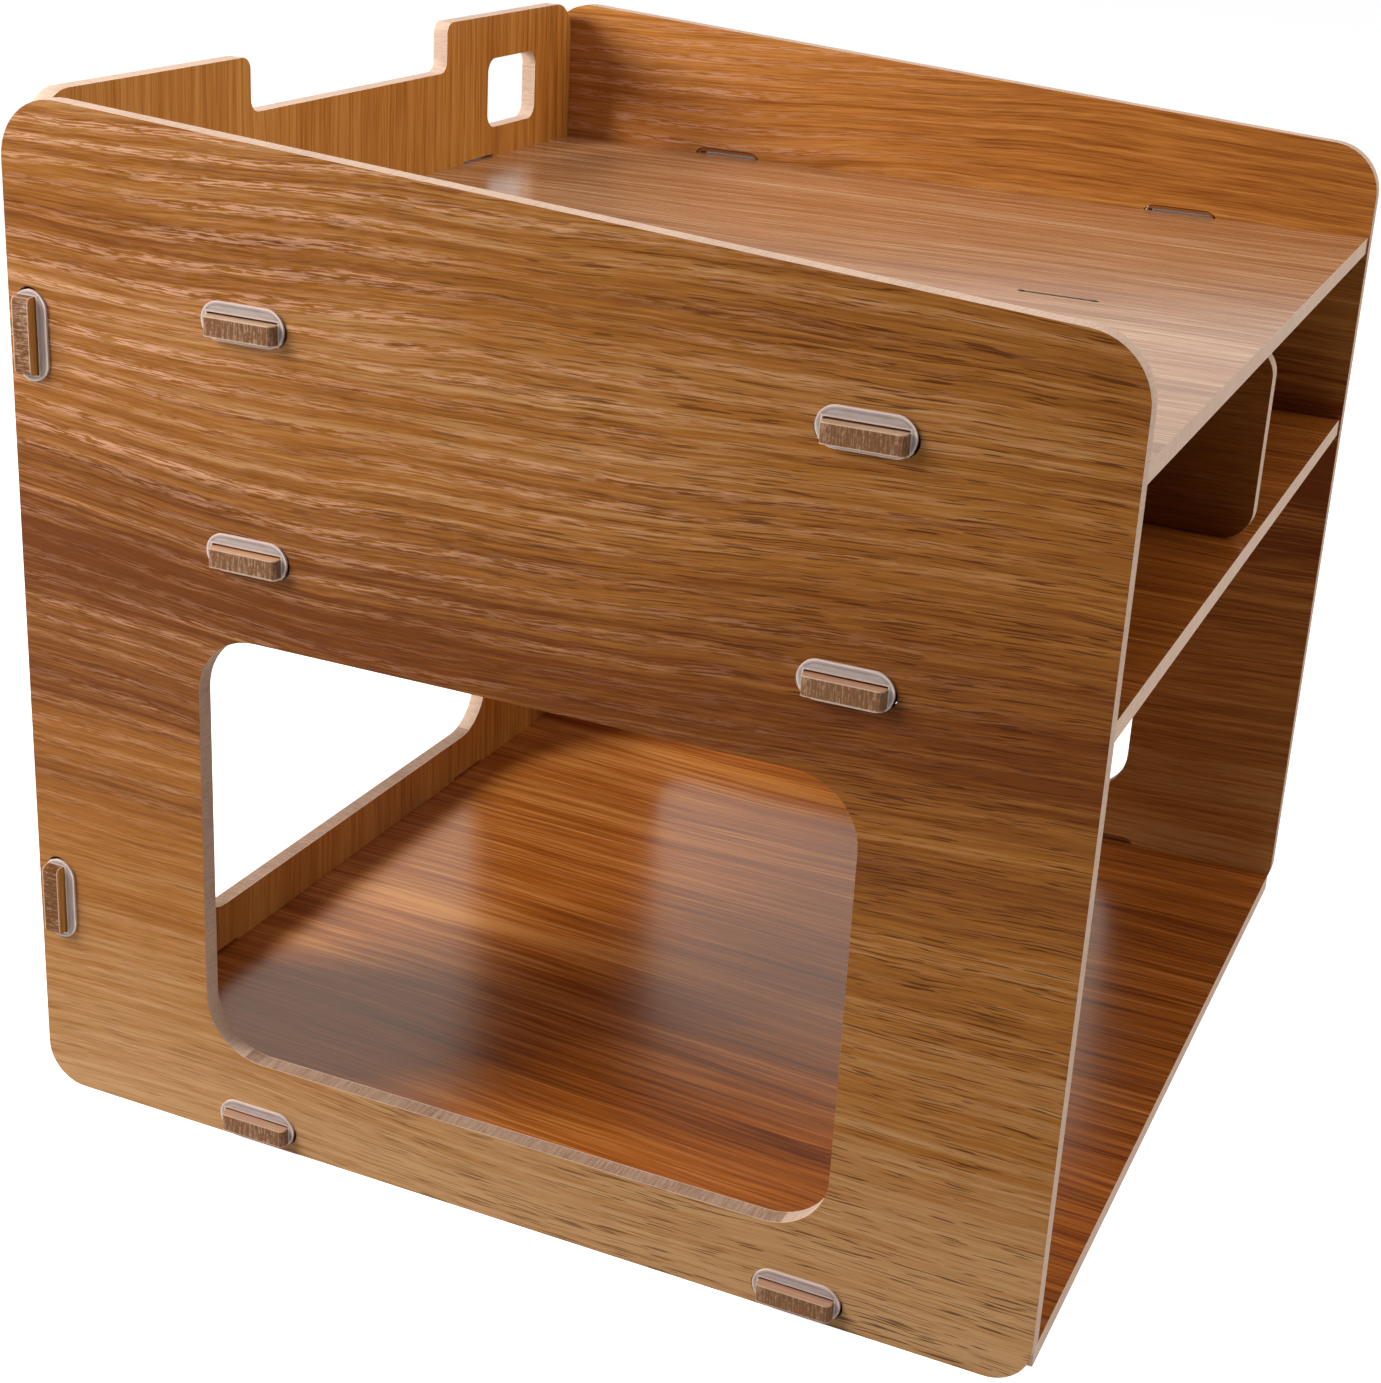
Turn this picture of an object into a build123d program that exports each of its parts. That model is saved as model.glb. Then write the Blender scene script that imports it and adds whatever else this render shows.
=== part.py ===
from build123d import *
import os

os.makedirs("parts", exist_ok=True)

# Tiered paper rack cut from laminated board, in millimetres.
# X is the width, Y the depth with the front at -Y, and Z the height above the desk.
# The boards have tenons that pass through the neighbouring boards. Each tenon in a side
# panel wears a soft silicone sleeve, whose flange lies on the panel's outer face.

# Boards
board = 5.5
fit_gap = 0.1

# Side panels, whose top edge falls towards the front
overall_width = 320.0
side_depth = 312.6
side_height = 300.0
side_top_fall = 21.4
side_top_radius = 17.0
side_foot_radius = 12.5

# Windows, each from a sill up to a rail below the middle shelf
side_window_width = 195.2
side_window_sill = 26.6
back_window_width = 195.0
back_window_sill = 24.9
window_rail = 21.0
window_radius = 18.5

# Back panel, with the notch and the square holes set down from its top edge
back_inset = 3.5
back_top_drop = 0.7
back_top_radius = 12.0
back_foot_radius = 3.0
notch_width = 117.8
notch_depth = 16.7
notch_centre_x = 1.6
notch_radius = 4.0
square_hole_width = 35.7
square_hole_height = 24.3
square_hole_drop = 15.1
square_hole_x = 107.9
square_hole_radius = 5.0

# Shelves: the bottom one is lifted off the desk, the top one is the floor of a tray,
# and the middle one hangs below it by the height of its bay
bottom_shelf_lift = 3.0
tray_depth = 50.65
middle_bay_height = 58.15
shelf_inset = 0.7

# Divider that stands between the middle and the top shelf
divider_near_x = 0.5
divider_radius = 9.0
tongue_thickness = 1.9
tongue_recess = 1.0
tongue_slot_gap = 0.3
slot_end_radius = 1.6

# Tenons of the shelves and the back panel
tenon_width = 21.6
tenon_reach = 3.4
tenon_tip_radius = 1.5
front_tenon_y = -91.1
rear_tenon_y = 80.6
lower_tenon_z = 63.6
upper_tenon_drop = 65.1
shelf_rear_tenon_x = 84.0
rear_slot_headroom = 0.8

# Sleeves round the tenons in the side panels. The tenon lies at one side of the sleeve's
# opening. The slack is at the other side, to which the flange reaches furthest.
sleeve_slack = 0.5
sleeve_wall = 0.85
sleeve_corner = 1.2
sleeve_recess = 0.3
flange_end_wall = 1.8
flange_side_wall = 2.2
flange_shift = 0.95
flange_thickness = 0.7

# Mortises, which the flanges cover except at both ends
mortise_side_gap = 0.3
mortise_end_gap = 0.6
mortise_shift = 0.3

# Faces that several boards share
side_outer_x = overall_width / 2
side_inner_x = side_outer_x - board
between_sides = 2 * (side_inner_x - fit_gap)
across_tenon_tips = 2 * (side_outer_x + tenon_reach)
back_height = side_height - back_top_drop
back_outer_y = side_depth / 2 - back_inset
back_inner_y = back_outer_y - board
shelf_front_y = -side_depth / 2 + shelf_inset
shelf_rear_y = back_inner_y - fit_gap
shelf_depth = shelf_rear_y - shelf_front_y
top_shelf_top = side_height - tray_depth
middle_shelf_top = top_shelf_top - board - middle_bay_height
window_head = middle_shelf_top - board - window_rail
opening_length = tenon_width + 2 * fit_gap
opening_width = board + 2 * fit_gap + sleeve_slack
flange_length = opening_length + 2 * flange_end_wall
flange_width = opening_width + 2 * flange_side_wall
mortise_length = flange_length + 2 * mortise_end_gap
mortise_width = opening_width + 2 * (sleeve_wall + mortise_side_gap)
sides = {"left": -1, "right": 1}
shelf_tops = {
    "bottom": bottom_shelf_lift + board,
    "middle": middle_shelf_top,
    "top": top_shelf_top,
}
tenon_rows = {"front": front_tenon_y, "rear": rear_tenon_y}
back_tenon_rows = {"lower": lower_tenon_z, "upper": side_height - upper_tenon_drop}

# Each joint in a side panel, as the place (y, z) and the turn of its sleeve's opening.
# Its own Y points to the slack, which is above a shelf's tenon and in front of a back
# panel's tenon.
joints = {}
for level, top in shelf_tops.items():
    for row, y in tenon_rows.items():
        centre_z = top - board / 2 + sleeve_slack / 2
        joints[f"{level}_{row}"] = Location((y, centre_z, 0), (0, 0, 0))
for level, z in back_tenon_rows.items():
    centre_y = back_outer_y - board / 2 - sleeve_slack / 2
    joints[f"back_{level}"] = Location((centre_y, z, 0), (0, 0, 90))


# Side panels, with a window and eight mortises each
for side_name, side in sides.items():
    with BuildPart() as side_panel:
        with BuildSketch(Plane.YZ.offset(side * side_inner_x)) as outline:
            with BuildLine():
                Polyline(
                    (-side_depth / 2, 0),
                    (side_depth / 2, 0),
                    (side_depth / 2, side_height),
                    (-side_depth / 2, side_height - side_top_fall),
                    close=True,
                )
            make_face()
            by_height = outline.vertices().sort_by(Axis.Y)
            fillet(by_height[2:], side_top_radius)
            feet = outline.vertices().group_by(Axis.Y)[0]
            fillet(feet, side_foot_radius)
            with Locations((0, (side_window_sill + window_head) / 2)):
                RectangleRounded(
                    side_window_width,
                    window_head - side_window_sill,
                    window_radius,
                    mode=Mode.SUBTRACT,
                )
            for joint in joints.values():
                with Locations(joint):
                    with Locations((0, mortise_shift)):
                        SlotOverall(mortise_length, mortise_width, mode=Mode.SUBTRACT)
        extrude(amount=side * board)

    side_panel.part.label = f"{side_name}_side_panel"
    export_step(side_panel.part, f"parts/{side_name}_side_panel.step")


# Back panel, with a window below, a finger notch in its top edge and two square holes
with BuildPart() as back_panel:
    with BuildSketch(Plane.XZ.offset(-back_outer_y)) as outline:
        Rectangle(between_sides, back_height, align=(Align.CENTER, Align.MIN))
        with Locations((notch_centre_x, back_height)):
            Rectangle(
                notch_width,
                notch_depth,
                align=(Align.CENTER, Align.MAX),
                mode=Mode.SUBTRACT,
            )
        across_top = outline.vertices().group_by(Axis.Y)[-1].sort_by(Axis.X)
        notch_corners = across_top[1:3] + outline.vertices().group_by(Axis.Y)[1]
        fillet(notch_corners, notch_radius)
        across_top = outline.vertices().group_by(Axis.Y)[-1].sort_by(Axis.X)
        fillet([across_top[0], across_top[-1]], back_top_radius)
        fillet(outline.vertices().group_by(Axis.Y)[0], back_foot_radius)

        # Tenons at both side edges
        for z in back_tenon_rows.values():
            with Locations((0, z)):
                Rectangle(across_tenon_tips, tenon_width)
        by_x = outline.vertices().group_by(Axis.X)
        fillet(by_x[0] + by_x[-1], tenon_tip_radius)

        with Locations((0, (back_window_sill + window_head) / 2)):
            RectangleRounded(
                back_window_width,
                window_head - back_window_sill,
                window_radius,
                mode=Mode.SUBTRACT,
            )
        with Locations((0, back_height - square_hole_drop - square_hole_height / 2)):
            with GridLocations(2 * square_hole_x, 0, 2, 1):
                RectangleRounded(
                    square_hole_width,
                    square_hole_height,
                    square_hole_radius,
                    mode=Mode.SUBTRACT,
                )

        # Slots for the rear tenons of the shelves
        for top in shelf_tops.values():
            with Locations((0, top + rear_slot_headroom)):
                with GridLocations(2 * shelf_rear_tenon_x, 0, 2, 1):
                    Rectangle(
                        tenon_width + 2 * fit_gap,
                        rear_slot_headroom + board + fit_gap,
                        align=(Align.CENTER, Align.MAX),
                        mode=Mode.SUBTRACT,
                    )
    extrude(amount=board)

back_panel.part.label = "back_panel"
export_step(back_panel.part, "parts/back_panel.step")


# Shelves, with two tenons at each side and two at the rear
for level, top in shelf_tops.items():
    with BuildPart() as shelf:
        with BuildSketch(Plane.XY.offset(top - board)) as outline:
            with Locations((0, shelf_front_y)):
                Rectangle(between_sides, shelf_depth, align=(Align.CENTER, Align.MIN))
            for y in tenon_rows.values():
                with Locations((0, y)):
                    Rectangle(across_tenon_tips, tenon_width)
            with Locations((0, back_outer_y + tenon_reach)):
                with GridLocations(2 * shelf_rear_tenon_x, 0, 2, 1):
                    Rectangle(
                        tenon_width,
                        tenon_reach + board + fit_gap,
                        align=(Align.CENTER, Align.MAX),
                    )
            by_x = outline.vertices().group_by(Axis.X)
            by_y = outline.vertices().group_by(Axis.Y)
            fillet(by_x[0] + by_x[-1] + by_y[-1], tenon_tip_radius)

            # The two upper shelves have slots for the divider's tongues
            if level != "bottom":
                for y in tenon_rows.values():
                    with Locations((divider_near_x + tongue_thickness / 2, y)):
                        Rectangle(
                            tongue_thickness + 2 * tongue_slot_gap,
                            tenon_width,
                            mode=Mode.SUBTRACT,
                        )
                        with GridLocations(0, tenon_width, 1, 2):
                            Circle(slot_end_radius, mode=Mode.SUBTRACT)
        extrude(amount=board)

    shelf.part.label = f"{level}_shelf"
    export_step(shelf.part, f"parts/{level}_shelf.step")


# Divider, with a thin tongue over and under each tenon row at its left face
divider_height = middle_bay_height - fit_gap
tongue_low = middle_shelf_top - board + tongue_recess
tongue_high = top_shelf_top - tongue_recess
with BuildPart() as divider_panel:
    with BuildSketch(Plane.YZ.offset(divider_near_x)) as outline:
        with Locations((shelf_front_y, middle_shelf_top)):
            Rectangle(shelf_depth, divider_height, align=Align.MIN)
        fillet(outline.vertices(), divider_radius)
    extrude(amount=board)
    with BuildSketch(Plane.YZ.offset(divider_near_x)):
        for y in tenon_rows.values():
            with Locations((y, tongue_low)):
                Rectangle(
                    tenon_width,
                    tongue_high - tongue_low,
                    align=(Align.CENTER, Align.MIN),
                )
    extrude(amount=tongue_thickness)

divider_panel.part.label = "divider_panel"
export_step(divider_panel.part, "parts/divider_panel.step")


# Sleeves: a thin soft wall inside the mortise and an oval flange on the outer face, with
# one opening through both
for side_name, side in sides.items():
    for place, joint in joints.items():
        with BuildPart() as sleeve:
            with BuildSketch(Plane.YZ.offset(side * (side_inner_x + sleeve_recess))) as wall:
                with Locations(joint):
                    with Locations((0, mortise_shift)):
                        Rectangle(
                            opening_length + 2 * sleeve_wall,
                            opening_width + 2 * sleeve_wall,
                        )
                chamfer(wall.vertices(), sleeve_corner)
            extrude(amount=side * (board - sleeve_recess))
            with BuildSketch(Plane.YZ.offset(side * side_outer_x)):
                with Locations(joint):
                    with Locations((0, flange_shift)):
                        SlotOverall(flange_length, flange_width)
            extrude(amount=side * flange_thickness)
            with BuildSketch(Plane.YZ.offset(side * side_inner_x)):
                with Locations(joint):
                    Rectangle(opening_length, opening_width)
            extrude(amount=side * 2 * board, mode=Mode.SUBTRACT)

        sleeve.part.label = f"sleeve_{side_name}_{place}"
        export_step(sleeve.part, f"parts/sleeve_{side_name}_{place}.step")
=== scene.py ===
"""Tiered paper rack: printed board, raw routed edges and soft sleeves round the tenons."""

import math

import bpy
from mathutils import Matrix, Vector


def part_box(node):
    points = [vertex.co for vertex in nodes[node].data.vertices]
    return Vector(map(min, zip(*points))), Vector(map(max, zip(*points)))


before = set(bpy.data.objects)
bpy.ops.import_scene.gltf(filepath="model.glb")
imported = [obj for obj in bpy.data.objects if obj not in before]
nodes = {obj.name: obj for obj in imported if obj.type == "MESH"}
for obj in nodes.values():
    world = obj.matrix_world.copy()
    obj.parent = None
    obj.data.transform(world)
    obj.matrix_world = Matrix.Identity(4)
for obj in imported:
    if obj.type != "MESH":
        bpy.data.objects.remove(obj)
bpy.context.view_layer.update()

boards = [
    "left_side_panel",
    "right_side_panel",
    "bottom_shelf",
    "middle_shelf",
    "top_shelf",
    "back_panel",
    "divider_panel",
]
sleeves = sorted(name for name in nodes if name.startswith("sleeve_"))

# Sizes in millimetres, as the materials measure them
side_outer_x = abs(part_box("left_side_panel")[0][0]) * 1000
back_outer_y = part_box("back_panel")[1][1] * 1000
side_height = 300.0
side_sill = 26.6
back_sill = 24.9
window_half_width = 97.0
top_shelf_z = 249.0
tongue_slot_x = 1.45
paper_depth = 0.38
paper_blur = 0.1
print_depth = 0.06

# Half sizes of a sleeve's flange and opening, and how far the opening is off the flange's middle
flange_half_length = 12.7
flange_half_width = 5.3
opening_half_length = 10.9
opening_half_width = 3.1
opening_shift = 0.95

X, Y, Z = 0, 1, 2
VALUE, COLOUR, VECTOR = "NodeSocketFloat", "NodeSocketColor", "NodeSocketVector"


# Small tools for shader trees


def new_node(tree, kind, **settings):
    node = tree.nodes.new(kind)
    for name, value in settings.items():
        setattr(node, name, value)
    return node


def plug(tree, value, socket):
    """Puts a number, a colour or another node's output into a socket."""
    if isinstance(value, bpy.types.NodeSocket):
        tree.links.new(value, socket)
    elif value is not None:
        socket.default_value = value


def math_of(tree, operation, first, second=None, third=None):
    node = new_node(tree, "ShaderNodeMath", operation=operation)
    for socket, value in zip(node.inputs, (first, second, third)):
        plug(tree, value, socket)
    return node.outputs[0]


def added(tree, first, *others):
    for other in others:
        first = math_of(tree, "ADD", first, other)
    return first


def times(tree, first, *others):
    for other in others:
        first = math_of(tree, "MULTIPLY", first, other)
    return first


def minus(tree, first, second):
    return math_of(tree, "SUBTRACT", first, second)


def larger(tree, first, second):
    return math_of(tree, "MAXIMUM", first, second)


def unsigned(tree, value):
    """A value without its sign."""
    return math_of(tree, "ABSOLUTE", value)


def parts_of(tree, vector):
    node = new_node(tree, "ShaderNodeSeparateXYZ")
    plug(tree, vector, node.inputs[0])
    return node.outputs


def vector_of(tree, x, y, z):
    node = new_node(tree, "ShaderNodeCombineXYZ")
    for socket, value in zip(node.inputs, (x, y, z)):
        plug(tree, value, socket)
    return node.outputs[0]


def noise_of(tree, vector, spot, detail=2.0, roughness=0.5, shift=0.0):
    """Noise from 0 to 1 with spots of this size along X, Y and Z; shift takes another part of it."""
    place = new_node(tree, "ShaderNodeMapping")
    plug(tree, vector, place.inputs["Vector"])
    place.inputs["Scale"].default_value = [1 / length for length in spot]
    place.inputs["Location"].default_value = (shift, 1.7 * shift, 0.6 * shift)
    node = new_node(tree, "ShaderNodeTexNoise", noise_dimensions="3D")
    plug(tree, place.outputs["Vector"], node.inputs["Vector"])
    node.inputs["Scale"].default_value = 1.0
    node.inputs["Detail"].default_value = detail
    node.inputs["Roughness"].default_value = roughness
    return node.outputs[0]


def swing_of(tree, noise, amount):
    """Turns noise into a swing to both sides of 0."""
    return times(tree, minus(tree, noise, 0.5), amount)


def spread(tree, value, low, high, to_low=0.0, to_high=1.0):
    """Takes low to to_low and high to to_high, in a straight run, and stops at both."""
    node = new_node(tree, "ShaderNodeMapRange", clamp=True)
    plug(tree, value, node.inputs["Value"])
    plug(tree, low, node.inputs["From Min"])
    plug(tree, high, node.inputs["From Max"])
    plug(tree, to_low, node.inputs["To Min"])
    plug(tree, to_high, node.inputs["To Max"])
    return node.outputs["Result"]


def mixed(tree, factor, first, second):
    """A colour mix, which has its two colours in sockets 6 and 7."""
    node = new_node(tree, "ShaderNodeMix", data_type="RGBA", blend_type="MIX")
    plug(tree, factor, node.inputs[0])
    plug(tree, first, node.inputs[6])
    plug(tree, second, node.inputs[7])
    return node.outputs[2]


def group_of(name, takes, gives):
    """An empty shader group with named sockets, and its two end nodes."""
    group = bpy.data.node_groups.new(name, "ShaderNodeTree")
    for label, kind in takes:
        group.interface.new_socket(label, in_out="INPUT", socket_type=kind)
    for label, kind in gives:
        group.interface.new_socket(label, in_out="OUTPUT", socket_type=kind)
    return group, group.nodes.new("NodeGroupInput").outputs, group.nodes.new("NodeGroupOutput").inputs


def placed_group(tree, group, **values):
    """A group in a material; an underscore stands for a space in a socket's name."""
    node = new_node(tree, "ShaderNodeGroup")
    node.node_tree = group
    for label, value in values.items():
        plug(tree, value, node.inputs[label.replace("_", " ")])
    return node.outputs


def srgb(red, green, blue):
    """A colour given as 0 to 255 on a screen, as Blender wants it."""
    out = []
    for part in (red, green, blue):
        part = part / 255
        out.append(part / 12.92 if part <= 0.04045 else ((part + 0.055) / 1.055) ** 2.4)
    return (*out, 1.0)


def new_material(name):
    made = bpy.data.materials.new(name)
    made.use_nodes = True
    return made, made.node_tree


def dress(node, material):
    nodes[node].data.materials.clear()
    nodes[node].data.materials.append(material)


def plug_bump(tree, shader, height, strength, distance):
    bump = new_node(tree, "ShaderNodeBump")
    bump.inputs["Strength"].default_value = strength
    bump.inputs["Distance"].default_value = distance
    plug(tree, height, bump.inputs["Height"])
    plug(tree, bump.outputs["Normal"], shader.inputs["Normal"])


# Printed wood. The grain runs along X of the vector and the layers differ in Z, in millimetres.


def make_bent_grain():
    """Bends the grain slowly over a board, and a little more every few centimetres."""
    tree, take, give = group_of("bent_grain", [("Vector", VECTOR)], [("Vector", VECTOR)])
    along, across, layer = parts_of(tree, take["Vector"])
    slow = noise_of(tree, take["Vector"], spot=(260, 120, 1), detail=1.5)
    quick = noise_of(tree, take["Vector"], spot=(26, 14, 1), shift=5.0)
    bent = added(tree, across, swing_of(tree, slow, 26.0), swing_of(tree, quick, 1.5))
    plug(tree, vector_of(tree, along, bent, layer), give["Vector"])
    return tree


def make_printed_grain():
    """Bands, streaks and fibres in three tones, with rows of pressed lines paled by a painted sheen,
    and short dark pores, partly painted shade.
    """
    takes = [
        ("Vector", VECTOR),
        ("Dark", COLOUR),
        ("Middle", COLOUR),
        ("Light", COLOUR),
        ("Pore", COLOUR),
        ("Sheen Line", COLOUR),
        ("Tone Shift", VALUE),
        ("Contrast", VALUE),
        ("Lines", VALUE),
        ("Ticks", VALUE),
    ]
    gives = [("Colour", COLOUR), ("Roughness", VALUE), ("Height", VALUE)]
    tree, take, give = group_of("printed_grain", takes, gives)
    place = take["Vector"]
    bands = noise_of(tree, place, spot=(700, 24, 1), detail=3.0, roughness=0.55, shift=3.0)
    streaks = noise_of(tree, place, spot=(170, 2.4, 1), detail=3.0, roughness=0.65, shift=9.0)
    fibres = noise_of(tree, place, spot=(30, 0.7, 1), roughness=0.6, shift=1.0)
    fibre_swing = swing_of(tree, fibres, 0.75)
    tone = added(tree, swing_of(tree, bands, 0.4), swing_of(tree, streaks, 0.7), fibre_swing)
    tone = added(tree, times(tree, tone, take["Contrast"]), take["Tone Shift"], 0.5)
    colour = mixed(tree, spread(tree, tone, 0.18, 0.5), take["Dark"], take["Middle"])
    colour = mixed(tree, spread(tree, tone, 0.5, 0.82), colour, take["Light"])

    # Pressed lines lie in wandering rows and catch the light; their pale colour is a painted sheen,
    # weaker on dark tones.
    row_spacing = 6.2
    wander = noise_of(tree, place, spot=(120, 22, 1), shift=4.0)
    turn = times(tree, parts_of(tree, place)[Y], 2 * math.pi / row_spacing)
    rows = math_of(tree, "SINE", added(tree, turn, swing_of(tree, wander, 7.0)))
    rows = spread(tree, rows, -0.2, 0.8, to_low=0.16)
    patches = noise_of(tree, place, spot=(90, 16, 1), shift=8.0)
    rows = times(tree, rows, spread(tree, patches, 0.35, 0.6, to_low=0.3))
    broken = noise_of(tree, place, spot=(7.5, 0.46, 1), roughness=0.6, shift=2.0)
    pressed = times(tree, spread(tree, broken, 0.475, 0.525), rows, take["Lines"])
    paler_on_light = spread(tree, tone, 0.1, 0.5, to_low=0.35, to_high=0.8)
    colour = mixed(tree, times(tree, pressed, paler_on_light), colour, take["Sheen Line"])

    # Pores come in loose patches, printed dark, and their darkness also stands in for painted shade in
    # their hollows.
    pores = noise_of(tree, place, spot=(14, 0.46, 1), detail=1.0, shift=7.0)
    pore_patches = noise_of(tree, place, spot=(60, 8, 1), detail=1.0, shift=6.0)
    pores = spread(tree, added(tree, pores, swing_of(tree, pore_patches, 0.2)), 0.605, 0.637)
    pores = times(tree, pores, take["Ticks"])
    colour = mixed(tree, times(tree, pores, 0.9), colour, take["Pore"])

    height = times(tree, fibre_swing, 0.35)
    height = added(tree, height, times(tree, pressed, 0.8), times(tree, pores, -0.8))
    plug(tree, colour, give["Colour"])
    plug(tree, spread(tree, pressed, 0.0, 1.0, to_high=0.10), give["Roughness"])
    plug(tree, height, give["Height"])
    return tree


def make_raw_fibre():
    """The board's core, with saw marks across its thickness, which is Z here."""
    takes = [
        ("Vector", VECTOR),
        ("Fibre", COLOUR),
        ("Scorched", COLOUR),
        ("Scorch", VALUE),
        ("Marks", VALUE),
    ]
    tree, take, give = group_of("raw_fibre", takes, [("Colour", COLOUR), ("Height", VALUE)])
    marks = noise_of(tree, take["Vector"], spot=(0.55, 0.55, 5.0), roughness=0.6)
    fluff = noise_of(tree, take["Vector"], spot=(0.7, 0.7, 0.7))
    blotch = noise_of(tree, take["Vector"], spot=(22, 22, 22))
    darkening = added(
        tree, swing_of(tree, marks, -1.7), swing_of(tree, blotch, -0.8), swing_of(tree, fluff, -0.7)
    )
    # The darkening here is the tips' scorch together with painted shade in the sills and slots; past
    # 0.95 the core goes towards char, which in the slots is painted shade.
    darkening = added(tree, times(tree, darkening, take["Marks"]), take["Scorch"])
    colour = mixed(tree, spread(tree, darkening, 0.0, 1.0), take["Fibre"], take["Scorched"])
    colour = mixed(tree, spread(tree, darkening, 0.95, 1.9), colour, char_and_shade_colour)
    plug(tree, colour, give["Colour"])
    plug(tree, added(tree, times(tree, marks, 0.6), times(tree, fluff, 0.4)), give["Height"])
    return tree


fibre_colour = srgb(208, 179, 158)
# The scorch and char colours also serve as painted shade in the sills and slots.
scorch_and_shade_colour = srgb(108, 68, 36)
char_and_shade_colour = srgb(46, 28, 18)
paper_colour = srgb(220, 192, 168)
pore_colour = srgb(68, 28, 9)
# The sheen colour pales the pressed lines as a painted sheen.
sheen_colour = srgb(208, 156, 124)
warm_gloss = srgb(255, 226, 196)

bent_grain = make_bent_grain()
printed_grain = make_printed_grain()
raw_fibre = make_raw_fibre()


def tone_curve(tree, height, stops):
    """A lift in tone at each of a few heights up the board, with straight runs between."""
    ramp = new_node(tree, "ShaderNodeValToRGB")
    plug(tree, times(tree, height, 1 / side_height), ramp.inputs[0])
    elements = ramp.color_ramp.elements
    for number, (place, lift) in enumerate(stops):
        element = elements[number] if number < 2 else elements.new(1.0)
        element.position = place / side_height
        level = 0.5 + lift
        element.color = (level, level, level, 1.0)
    return minus(tree, ramp.outputs[0], 0.5)


def face_print(tree, split, along, across, depth, tones, finish):
    """The print on a board's two faces, whose layers are apart."""
    layer = math_of(tree, "MULTIPLY_ADD", math_of(tree, "SIGN", depth), 3.0, finish["seed"])
    finer = 1 / finish["grain_size"]
    place = vector_of(tree, times(tree, split[along], finer), times(tree, split[across], finer), layer)
    bent = placed_group(tree, bent_grain, Vector=place)["Vector"]
    fade_axis, *fade_run = finish["fade"]
    tone_shift = spread(tree, split[fade_axis], *fade_run)
    # The pressed lines and their painted sheen grow stronger towards the rear, where the light catches
    # them.
    rear_lines_and_sheen = spread(tree, split[Y], -150, 110, to_low=finish["front_lines"])
    lines = times(tree, larger(tree, rear_lines_and_sheen, 0.0), finish["lines"])
    contrast, ticks = finish["contrast"], finish["ticks"]
    if "calm_foot" in finish:
        upper = spread(tree, split[Z], *finish["calm_foot"])
        # The upper front is darkened as painted shade.
        front = spread(tree, split[Y], -150, -20, to_low=-0.08, to_high=0.0)
        tone_shift = added(tree, tone_shift, times(tree, upper, front))
        # The painted sheen on the lines fades towards the foot.
        lines = times(tree, lines, spread(tree, upper, 0.0, 1.0, to_low=0.2))
        contrast = spread(tree, upper, 0.0, 1.0, to_low=0.6, to_high=contrast)
        # Fewer pores, with their painted shade, towards the rear, where the light falls.
        ticks = spread(tree, split[Y], -100, 110, to_low=ticks, to_high=0.35 * ticks)
    if "tone_stops" in finish:
        height = parts_of(tree, bent)[Y]
        tone_shift = added(tree, tone_shift, tone_curve(tree, height, finish["tone_stops"]))
    dark, middle, light = tones
    return placed_group(
        tree,
        printed_grain,
        Vector=bent,
        Dark=dark,
        Middle=middle,
        Light=light,
        Pore=pore_colour,
        Sheen_Line=sheen_colour,
        Tone_Shift=tone_shift,
        Contrast=contrast,
        Lines=lines,
        Ticks=ticks,
    )


def board_core(tree, split, along, across, depth, tip, finish):
    """The core, darker and rougher on the tenons' tips, and darkened as painted shade in the window
    sills and the divider's slots.
    """
    painted_shade = finish["darkening"]
    for axis, centre, reach in finish["shade_at"]:
        painted_shade = times(tree, painted_shade, math_of(tree, "COMPARE", split[axis], centre, reach))
    scorch_and_shade = added(tree, spread(tree, tip, 0.0, 1.0, to_low=0.08, to_high=0.95), painted_shade)
    return placed_group(
        tree,
        raw_fibre,
        Vector=vector_of(tree, split[along], split[across], depth),
        Fibre=fibre_colour,
        Scorched=scorch_and_shade_colour,
        Scorch=scorch_and_shade,
        Marks=spread(tree, tip, 0.0, 1.0, to_low=0.45),
    )


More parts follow.
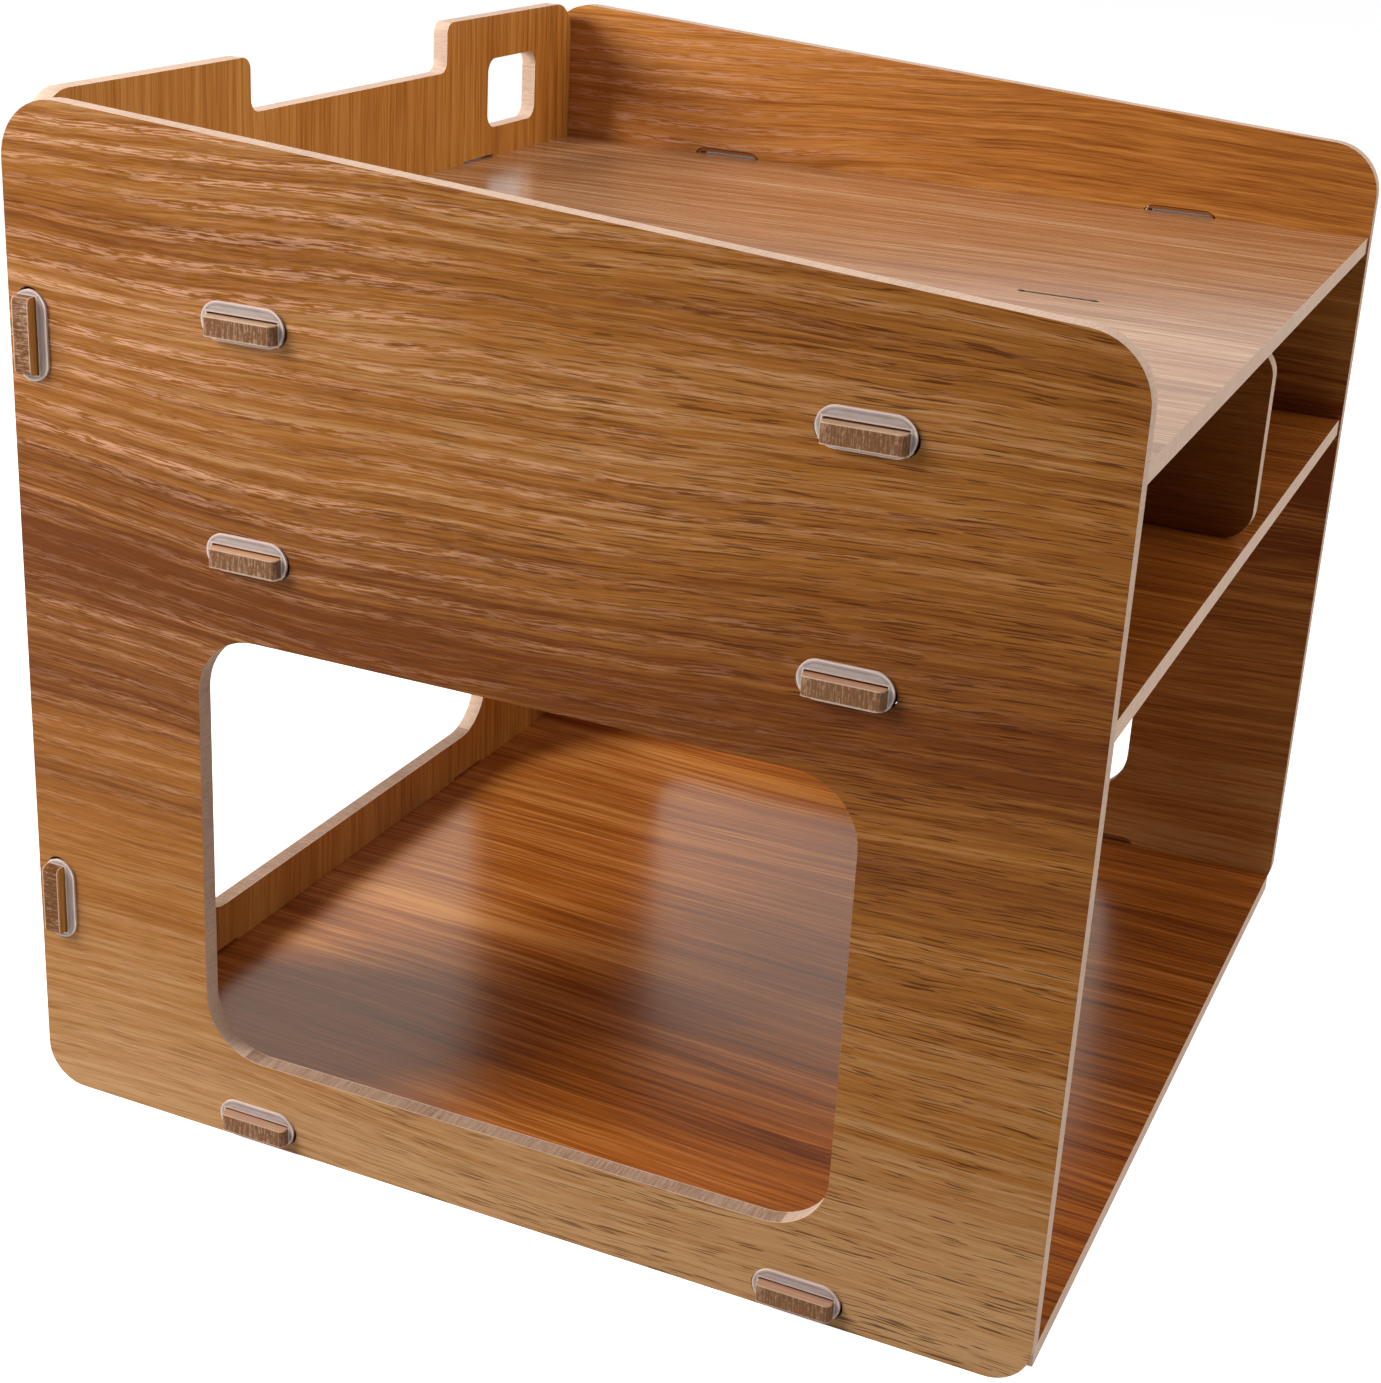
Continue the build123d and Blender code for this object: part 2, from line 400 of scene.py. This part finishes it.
def printed_board(node, along, across, through, tones, finish):
    """Board printed on both faces, with raw edges. along, across and through are axis numbers."""
    low_corner, high_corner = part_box(node)
    middle = (low_corner[through] + high_corner[through]) * 500
    half = (high_corner[through] - low_corner[through]) * 500
    made, tree = new_material(f"{node}_board")
    shader = tree.nodes["Principled BSDF"]
    place = new_node(tree, "ShaderNodeTexCoord")
    millimetres = new_node(tree, "ShaderNodeVectorMath", operation="SCALE")
    plug(tree, place.outputs["Object"], millimetres.inputs[0])
    millimetres.inputs["Scale"].default_value = 1000.0
    split = parts_of(tree, millimetres.outputs[0])
    depth = minus(tree, split[through], middle)
    off_middle = unsigned(tree, depth)

    # Tenons show their tips past the side boards, and the shelves' past the back board too
    tip = spread(tree, unsigned(tree, split[X]), side_outer_x + 0.3, side_outer_x + 0.5)
    if finish["rear_tenons"]:
        rear_tip = spread(tree, split[Y], back_outer_y + 0.3, back_outer_y + 0.5)
        tip = larger(tree, tip, rear_tip)

    printed = face_print(tree, split, along, across, depth, tones, finish)
    core = board_core(tree, split, along, across, depth, tip, finish)

    # Core, then paper, then print, towards either face
    is_print = spread(tree, off_middle, half - print_depth, half - print_depth / 2)
    is_core = minus(tree, 1.0, is_print)
    is_paper = spread(tree, off_middle, half - paper_depth, half - paper_depth + paper_blur)
    edge_colour = mixed(tree, times(tree, is_paper, 0.6), core["Colour"], paper_colour)
    # The print on the tenon tips is paled towards the paper colour as a painted sheen.
    print_colour = mixed(tree, times(tree, tip, finish["tip_sheen"]), printed["Colour"], paper_colour)
    print_rough = added(tree, printed["Roughness"], finish["roughness"])
    height = added(tree, times(tree, printed["Height"], is_print), times(tree, core["Height"], is_core))

    plug(tree, mixed(tree, is_print, edge_colour, print_colour), shader.inputs["Base Color"])
    rough = spread(tree, is_print, 0.0, 1.0, to_low=0.8, to_high=print_rough)
    plug(tree, rough, shader.inputs["Roughness"])
    shader.inputs["Specular IOR Level"].default_value = finish["specular"]
    shader.inputs["IOR"].default_value = finish["index"]
    shader.inputs["Specular Tint"].default_value = warm_gloss
    plug_bump(tree, shader, height, strength=finish["bump"], distance=0.00012)
    dress(node, made)


# The side boards' tone, from the foot up in millimetres: pale tan, a dark line, a reddish dark
# belt and a golden top. The pale tan at the foot is partly painted light and reflection from the white
# floor.
side_stops = [
    (0, 0.27), (15, 0.24), (50, 0.08), (75, 0.04), (92, -0.01), (104, -0.12), (115, -0.02),
    (137, -0.22), (146, -0.1), (172, -0.32), (196, -0.12), (212, 0.0), (250, 0.03), (262, -0.04),
    (300, 0.04),
]

# The dark, middle and light tone of each board's print. They differ between boards partly as print and
# partly
# as painted light and shade: darker and deeper on the divider and lower shelves, paler on the top shelf
# as a painted sheen, and lighter on the right board as painted light.
left_tones = (srgb(100, 50, 14), srgb(147, 92, 36), srgb(184, 143, 98))
right_tones = (srgb(112, 54, 18), srgb(176, 112, 50), srgb(204, 152, 92))
divider_tones = (srgb(92, 40, 8), srgb(135, 76, 24), srgb(160, 104, 50))
top_tones = (srgb(118, 72, 40), srgb(166, 115, 74), srgb(208, 172, 138))
lower_tones = (srgb(92, 38, 8), srgb(160, 88, 28), srgb(208, 142, 74))
back_tones = (srgb(122, 66, 20), srgb(188, 122, 50), srgb(216, 162, 88))

# Finishes. The places of painted shade on the core are listed as (axis, centre, reach), and the core is
# darkened where all of them hold.
# fade is the axis, two places on it and the tone's shift at both. calm_foot is the run of heights
# over which the print gets livelier, with stronger painted sheen and painted shade at the front.
board_finish = {
    "contrast": 0.9,
    "grain_size": 1.0,
    "index": 1.5,
    "tip_sheen": 0.0,
    "rear_tenons": False,
}
side_finish = board_finish | {
    "tone_stops": side_stops,
    "lines": 1.0,
    "front_lines": 0.1,
    "ticks": 0.85,
    "roughness": 0.42,
    "specular": 0.1,
    "bump": 0.5,
    "darkening": 0.5,
    "shade_at": [(Z, side_sill, 1.0), (Y, 0.0, window_half_width)],
}
left_finish = side_finish | {
    "seed": 0.0,
    "calm_foot": (85, 215),
    "fade": (Y, -150, 150, 0.03, -0.04),
}
right_finish = side_finish | {
    "seed": 12.0,
    "front_lines": -0.6,
    "ticks": 0.25,
    "contrast": 0.85,
    "fade": (Y, -150, 60, -0.1, 0.0),
}
divider_finish = side_finish | {
    "seed": 21.0,
    "contrast": 0.6,
    "ticks": 0.4,
    "fade": (Y, -150, 150, -0.05, 0.0),
    "darkening": 2.4,
    "shade_at": [(Z, top_shelf_z, 5.0)],
}
shelf_finish = board_finish | {
    "lines": 0.1,
    "front_lines": 1.0,
    "ticks": 0.12,
    "roughness": 0.22,
    "specular": 0.75,
    "index": 1.6,
    "bump": 0.3,
    "tip_sheen": 0.38,
    "rear_tenons": True,
    "darkening": 2.4,
    "shade_at": [(X, tongue_slot_x, 2.6), (Y, 0.0, 130.0)],
}
bottom_finish = shelf_finish | {
    "seed": 40.0,
    "grain_size": 1.6,
    "contrast": 1.1,
    "fade": (Y, -150, 140, -0.14, 0.08),
}
middle_finish = shelf_finish | {
    "seed": 49.0,
    "fade": (Y, -150, 140, -0.1, 0.1),
}
top_finish = shelf_finish | {
    "seed": 58.0,
    "contrast": 1.25,
    "fade": (X, -150, 150, 0.06, -0.06),
}
back_finish = board_finish | {
    "seed": 70.0,
    "lines": 0.1,
    "front_lines": 1.0,
    "ticks": 0.0,
    "roughness": 0.4,
    "specular": 0.3,
    "bump": 0.4,
    "darkening": 0.4,
    "shade_at": [(Z, back_sill, 1.0), (X, 0.0, window_half_width)],
    "fade": (X, -60, 150, 0.06, -0.08),
}

printed_board("left_side_panel", Y, Z, X, left_tones, left_finish)
printed_board("right_side_panel", Y, Z, X, right_tones, right_finish)
printed_board("divider_panel", Y, Z, X, divider_tones, divider_finish)
printed_board("bottom_shelf", Y, X, Z, lower_tones, bottom_finish)
printed_board("middle_shelf", Y, X, Z, lower_tones, middle_finish)
printed_board("top_shelf", Y, X, Z, top_tones, top_finish)
printed_board("back_panel", Z, X, Y, back_tones, back_finish)


# Soft milky silicone. The vector is measured in millimetres from the middle of the flange, with
# X along its length, Y across it towards the slack and Z outwards from the board's outer face.

milk_colour = srgb(200, 184, 177)
cloudy_colour = srgb(148, 132, 127)
groove_colour = srgb(120, 100, 94)
rim_highlight_colour = srgb(222, 200, 188)
mortise_shade_colour = srgb(140, 82, 38)


def make_milky_silicone():
    """Clouds and faint lines, a rim and lip paled as a painted highlight with a groove between, and an
    inner end darkened as painted shade.
    """
    gives = [("Colour", COLOUR), ("Roughness", VALUE), ("Height", VALUE)]
    tree, take, give = group_of("milky_silicone", [("Vector", VECTOR)], gives)
    lengthwise, crosswise, outwards = parts_of(tree, take["Vector"])

    # How far in from the flange's outline, which has round ends, and out from the opening
    straight = flange_half_length - flange_half_width
    past_straight = larger(tree, minus(tree, unsigned(tree, lengthwise), straight), 0.0)
    from_spine = new_node(tree, "ShaderNodeVectorMath", operation="LENGTH")
    plug(tree, vector_of(tree, past_straight, crosswise, 0.0), from_spine.inputs[0])
    inset = minus(tree, flange_half_width, from_spine.outputs["Value"])
    past_end = minus(tree, unsigned(tree, lengthwise), opening_half_length)
    from_slack = added(tree, crosswise, opening_shift)
    past_side = minus(tree, unsigned(tree, from_slack), opening_half_width)
    from_opening = larger(tree, past_end, past_side)

    # The rim and lip are paled as a painted highlight.
    rim = spread(tree, inset, 0.25, 0.5, to_low=1.0, to_high=0.0)
    groove = math_of(tree, "COMPARE", inset, 0.95, 0.22)
    lip = spread(tree, from_opening, 0.3, 0.55, to_low=1.0, to_high=0.0)
    highlit_rim_and_lip = larger(tree, rim, times(tree, lip, 0.8))
    # Inside the mortise the sleeve is darkened as painted shade.
    inside = spread(tree, outwards, -1.5, -0.2, to_low=1.0, to_high=0.0)

    clouds = noise_of(tree, take["Vector"], spot=(9.0, 2.0, 4.0))
    faint_lines = noise_of(tree, take["Vector"], spot=(20.0, 0.4, 0.5), roughness=0.6)
    milk = added(tree, swing_of(tree, clouds, 1.0), swing_of(tree, faint_lines, 0.7), 0.45)
    colour = mixed(tree, spread(tree, milk, 0.1, 0.9), cloudy_colour, milk_colour)
    colour = mixed(tree, times(tree, groove, 0.45), colour, groove_colour)
    colour = mixed(tree, times(tree, highlit_rim_and_lip, 0.8), colour, rim_highlight_colour)
    colour = mixed(tree, inside, colour, mortise_shade_colour)
    rough = spread(tree, milk, 0.1, 0.9, to_low=0.26, to_high=0.42)
    rough = added(tree, rough, times(tree, inside, 0.4))
    height = added(tree, times(tree, faint_lines, 0.3), times(tree, added(tree, rim, lip), 0.5))
    plug(tree, colour, give["Colour"])
    plug(tree, rough, give["Roughness"])
    plug(tree, height, give["Height"])
    return tree


milky_silicone = make_milky_silicone()


def silicone(node):
    made, tree = new_material(f"{node}_silicone")
    shader = tree.nodes["Principled BSDF"]
    low_corner, high_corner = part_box(node)
    centre = [(low + high) / 2 for low, high in zip(low_corner, high_corner)]
    place = new_node(tree, "ShaderNodeTexCoord").outputs["Object"]
    x, y, z = parts_of(tree, place)
    lengthwise = times(tree, minus(tree, y, centre[Y]), 1000.0)
    crosswise = times(tree, minus(tree, z, centre[Z]), 1000.0)
    if "_back_" in node:
        lengthwise, crosswise = crosswise, times(tree, lengthwise, -1.0)
    outwards = minus(tree, times(tree, unsigned(tree, x), 1000.0), side_outer_x)
    soft = placed_group(tree, milky_silicone, Vector=vector_of(tree, lengthwise, crosswise, outwards))
    plug(tree, soft["Colour"], shader.inputs["Base Color"])
    plug(tree, soft["Roughness"], shader.inputs["Roughness"])
    shader.inputs["IOR"].default_value = 1.42
    shader.inputs["Subsurface Weight"].default_value = 0.3
    shader.inputs["Subsurface Radius"].default_value = (1.0, 0.85, 0.75)
    shader.inputs["Subsurface Scale"].default_value = 0.0006
    plug_bump(tree, shader, soft["Height"], strength=0.4, distance=0.0002)
    dress(node, made)


for node in sleeves:
    silicone(node)


def ease_edges(node, width, segments):
    """Takes the sharpness off the cut edges, once the mesh's triangles are joined to flat faces."""
    weld = nodes[node].modifiers.new("join", "WELD")
    weld.merge_threshold = 1e-6
    flat = nodes[node].modifiers.new("flat", "DECIMATE")
    flat.decimate_type = "DISSOLVE"
    flat.angle_limit = math.radians(1.0)
    edge = nodes[node].modifiers.new("eased", "BEVEL")
    edge.width = width
    edge.segments = segments
    edge.limit_method = "ANGLE"
    edge.angle_limit = math.radians(40)
    edge.use_clamp_overlap = True


for node in boards:
    ease_edges(node, width=0.00015, segments=2)
for node in sleeves:
    ease_edges(node, width=0.0003, segments=3)


# Floor, light and camera


def seen_directly(tree):
    """1 for the camera, reflections and what shows through, and 0 for light that spreads."""
    path = new_node(tree, "ShaderNodeLightPath")
    seen = larger(tree, path.outputs["Is Camera Ray"], path.outputs["Is Glossy Ray"])
    return larger(tree, seen, path.outputs["Is Transmission Ray"])


def floor_material(grey, glow_strength):
    """White for the camera and for reflections, and still darker in a shadow."""
    made, tree = new_material("floor_white")
    tree.nodes.clear()
    plain = new_node(tree, "ShaderNodeBsdfDiffuse")
    plain.inputs["Color"].default_value = (grey, grey, grey, 1.0)
    glow = new_node(tree, "ShaderNodeEmission")
    plug(tree, times(tree, seen_directly(tree), glow_strength), glow.inputs["Strength"])
    both = new_node(tree, "ShaderNodeAddShader")
    plug(tree, plain.outputs[0], both.inputs[0])
    plug(tree, glow.outputs[0], both.inputs[1])
    end = new_node(tree, "ShaderNodeOutputMaterial")
    plug(tree, both.outputs[0], end.inputs["Surface"])
    return made


def light_air(soft_strength):
    """White air where it is seen, which gives this much soft light from all round."""
    world = bpy.data.worlds.new("studio")
    bpy.context.scene.world = world
    world.use_nodes = True
    tree = world.node_tree
    tree.nodes.clear()
    air = new_node(tree, "ShaderNodeBackground")
    air.inputs["Color"].default_value = (1.0, 1.0, 1.0, 1.0)
    strength = spread(tree, seen_directly(tree), 0.0, 1.0, to_low=soft_strength)
    plug(tree, strength, air.inputs["Strength"])
    end = new_node(tree, "ShaderNodeOutputWorld")
    plug(tree, air.outputs[0], end.inputs["Surface"])


def lamp(name, location, target, size, power):
    """A square soft lamp, which the glossy shelves don't mirror."""
    data = bpy.data.lights.new(name, "AREA")
    data.shape = "SQUARE"
    data.size = size
    data.energy = power
    made = bpy.data.objects.new(name, data)
    made.location = location
    made.rotation_euler = (Vector(target) - Vector(location)).to_track_quat("-Z", "Y").to_euler()
    made.visible_glossy = False
    bpy.context.scene.collection.objects.link(made)


bpy.ops.mesh.primitive_plane_add(size=8.0, location=(0.0, 0.0, 0.0))
floor = bpy.context.object
floor.name = "floor"
floor.data.materials.append(floor_material(grey=0.72, glow_strength=0.88))
light_air(soft_strength=0.13)

lamp("top_softbox", (0.1, -0.1, 1.3), target=(0.0, 0.0, 0.1), size=0.9, power=5.5)
lamp("rear_left_softbox", (-0.6, 0.8, 0.7), target=(-0.12, 0.05, 0.18), size=0.45, power=16.5)
lamp("front_softbox", (0.3, -1.5, 1.2), target=(0.0, 0.0, 0.1), size=1.0, power=14.0)

# The camera's place, turn and lens were solved from the directions of the board edges
camera_data = bpy.data.cameras.new("camera")
camera_data.sensor_width = 36.0
camera_data.lens = 60.458
camera_data.shift_x = -0.0055
camera_data.shift_y = -0.0463
camera_data.clip_start = 0.01
camera_data.clip_end = 50.0
camera = bpy.data.objects.new("camera", camera_data)
camera.location = (-0.65209, -0.25973, 0.39659)
camera.rotation_euler = (math.radians(68.9213), math.radians(-3.0036), math.radians(-65.9128))
bpy.context.scene.collection.objects.link(camera)
bpy.context.scene.camera = camera
bpy.context.scene.view_settings.view_transform = "Standard"
